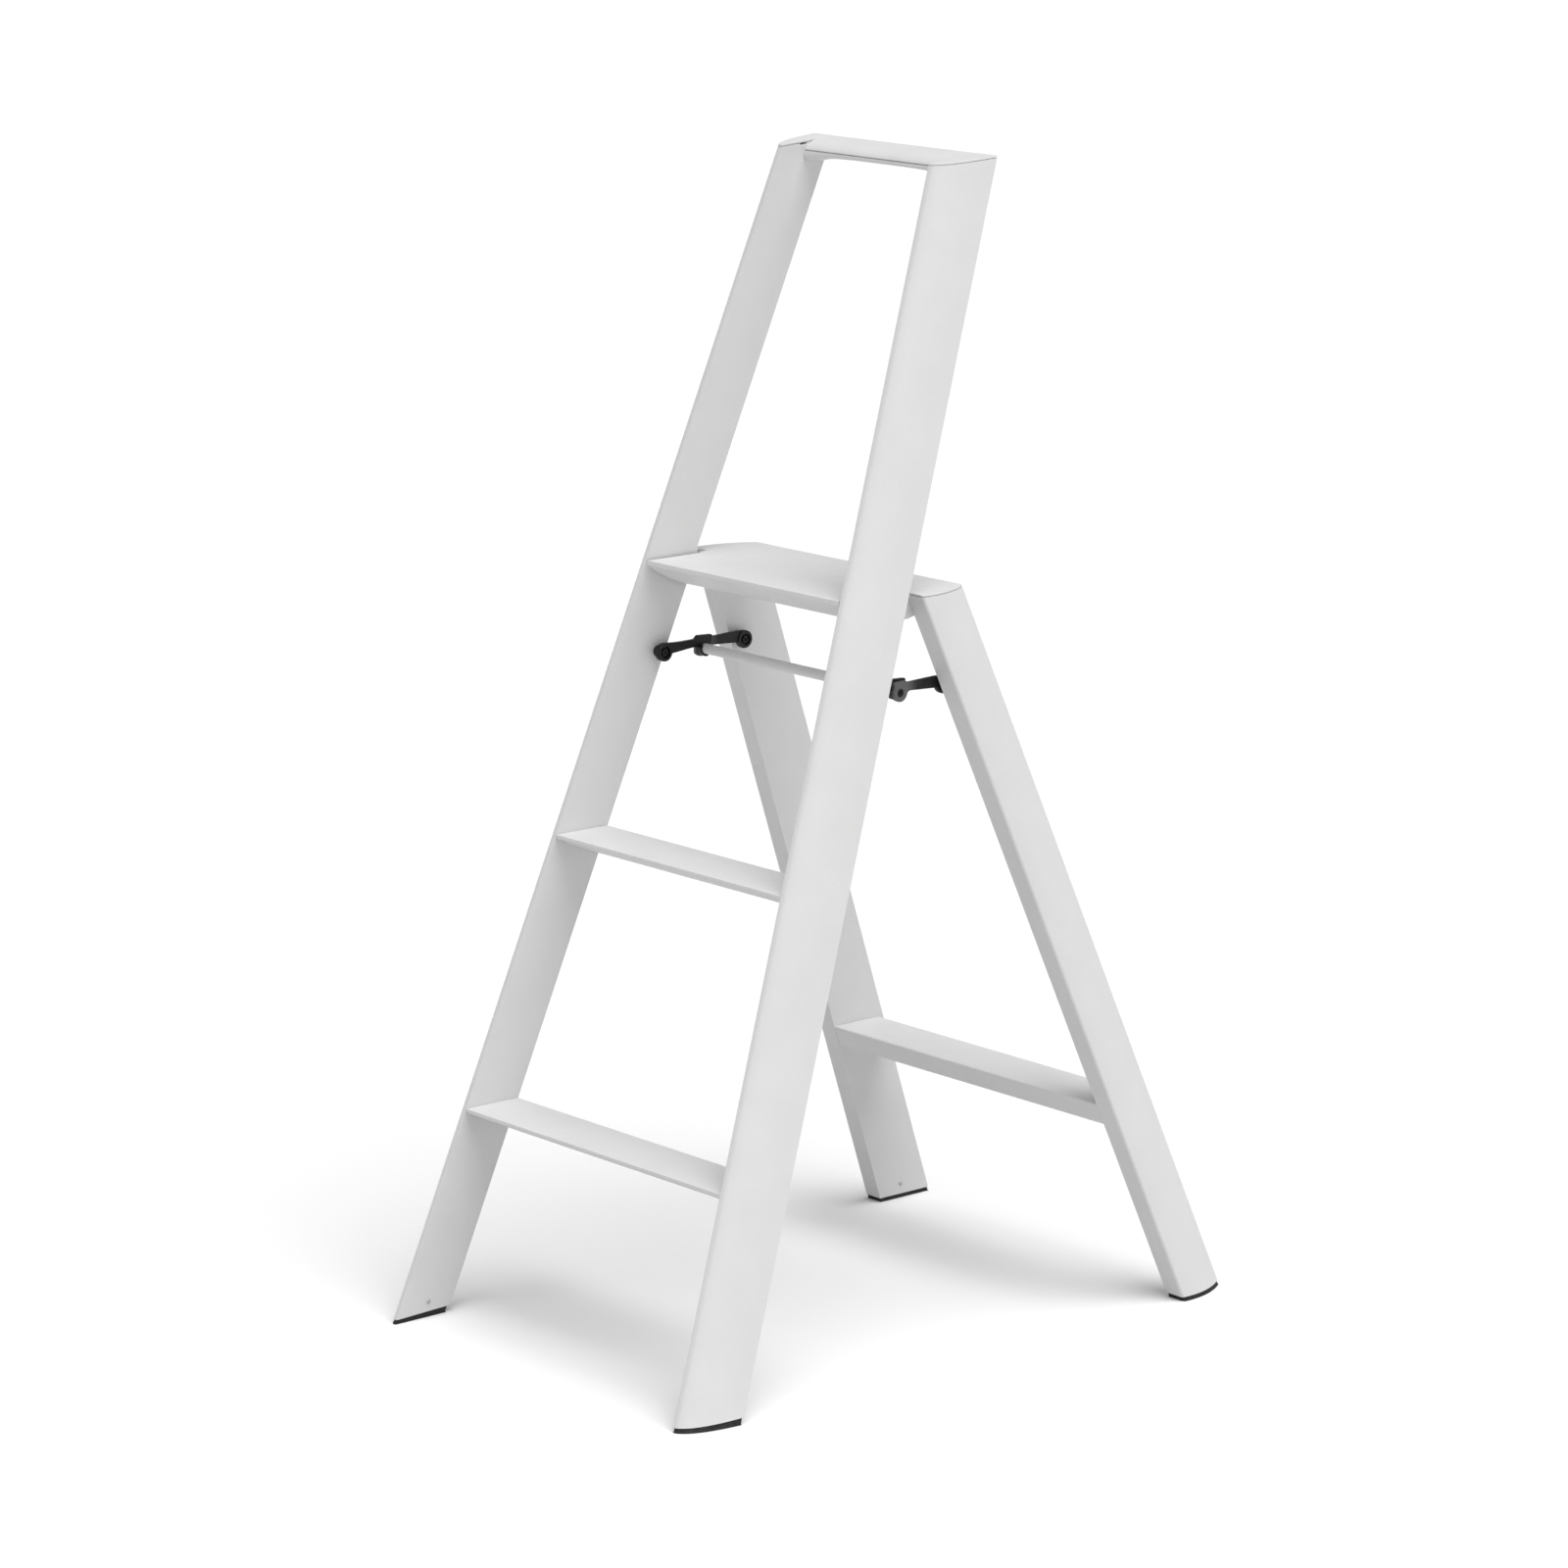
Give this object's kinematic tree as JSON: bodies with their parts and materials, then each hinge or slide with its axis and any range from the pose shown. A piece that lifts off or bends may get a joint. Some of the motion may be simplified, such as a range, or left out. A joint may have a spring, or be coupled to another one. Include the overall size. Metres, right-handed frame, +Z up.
{
  "type": "folding stepladder",
  "caption": "Folding household stepladder with a high hand rail, hollow white stiles, flat treads, a top platform, a hinged rear frame and locking stays.",
  "frame": {"origin": "on the floor, in the middle of the open ladder's footprint", "axes": "+Z up, +Y towards the rear legs, +X to the right of a person climbing"},
  "size_m": [0.5122, 0.757, 1.2235],
  "materials": {
    "white_coat": "satin white powder coat on extruded aluminium",
    "cast_white": "satin white coat on cast aluminium",
    "sole_rubber": "black moulded rubber",
    "black_coat": "satin black coated steel",
    "graphite_coat": "satin dark grey coated steel",
    "fastener_steel": "plain zinc-plated steel",
    "bush_nylon": "black nylon"
  },
  "bodies": {
    "front_frame": {"stile_left": "white_coat", "stile_right": "white_coat", "stile_cap_left": "cast_white", "stile_cap_right": "cast_white", "handle_bar": "cast_white", "handle_screw_left": "fastener_steel", "handle_screw_right": "fastener_steel", "lower_tread": "white_coat", "middle_tread": "white_coat", "lower_tread_end_left": "cast_white", "lower_tread_end_right": "cast_white", "middle_tread_end_left": "cast_white", "middle_tread_end_right": "cast_white", "lower_tread_screw_left": "fastener_steel", "lower_tread_screw_right": "fastener_steel", "middle_tread_screw_left": "fastener_steel", "middle_tread_screw_right": "fastener_steel", "front_left_foot": "sole_rubber", "front_right_foot": "sole_rubber", "front_left_foot_screw": "fastener_steel", "front_right_foot_screw": "fastener_steel", "hinge_pin_left": "fastener_steel", "hinge_pin_right": "fastener_steel", "hinge_washer_left": "bush_nylon", "hinge_washer_right": "bush_nylon", "front_stay_left_rivet": "black_coat", "front_stay_right_rivet": "black_coat", "front_stay_left_spacer": "bush_nylon", "front_stay_right_spacer": "bush_nylon"},
    "rear_frame": {"platform_deck": "white_coat", "platform_end_left": "cast_white", "platform_end_right": "cast_white", "platform_screw_left": "fastener_steel", "platform_screw_right": "fastener_steel", "rear_leg_left": "white_coat", "rear_leg_right": "white_coat", "leg_cap_left": "cast_white", "leg_cap_right": "cast_white", "rear_brace": "white_coat", "rear_brace_end_left": "cast_white", "rear_brace_end_right": "cast_white", "rear_brace_screw_left": "fastener_steel", "rear_brace_screw_right": "fastener_steel", "rear_left_foot": "sole_rubber", "rear_right_foot": "sole_rubber", "rear_left_foot_screw": "fastener_steel", "rear_right_foot_screw": "fastener_steel", "rear_stay_left_rivet": "black_coat", "rear_stay_right_rivet": "black_coat", "rear_stay_left_spacer": "bush_nylon", "rear_stay_right_spacer": "bush_nylon"},
    "front_stay": {"front_arm_left": "black_coat", "front_arm_right": "black_coat", "release_bar": "white_coat", "bar_pin_left": "fastener_steel", "bar_pin_right": "fastener_steel"},
    "rear_stay": {"rear_arm_left": "graphite_coat", "rear_arm_right": "graphite_coat", "eye_cap_left": "black_coat", "eye_cap_right": "black_coat"}
  },
  "joints": [
    {"name": "fold", "type": "hinge", "parent": "front_frame", "child": "rear_frame", "pos_m": [0, -0.0462, 0.776], "axis": [1, 0, 0], "range_deg": [-41.4, 0]},
    {"name": "front_stay_pivot", "type": "hinge", "parent": "front_frame", "child": "front_stay", "pos_m": [0, -0.0715, 0.692], "axis": [1, 0, 0], "range_deg": [0, 23.4]},
    {"name": "rear_stay_pivot", "type": "hinge", "parent": "rear_frame", "child": "rear_stay", "pos_m": [0, 0.0423, 0.691], "axis": [1, 0, 0], "range_deg": [-65.1, 0]}
  ],
  "couplings": [
    {"joint": "front_stay_pivot", "follows": "fold", "ratio": -0.56365},
    {"joint": "rear_stay_pivot", "follows": "fold", "ratio": 1.5704}
  ]
}
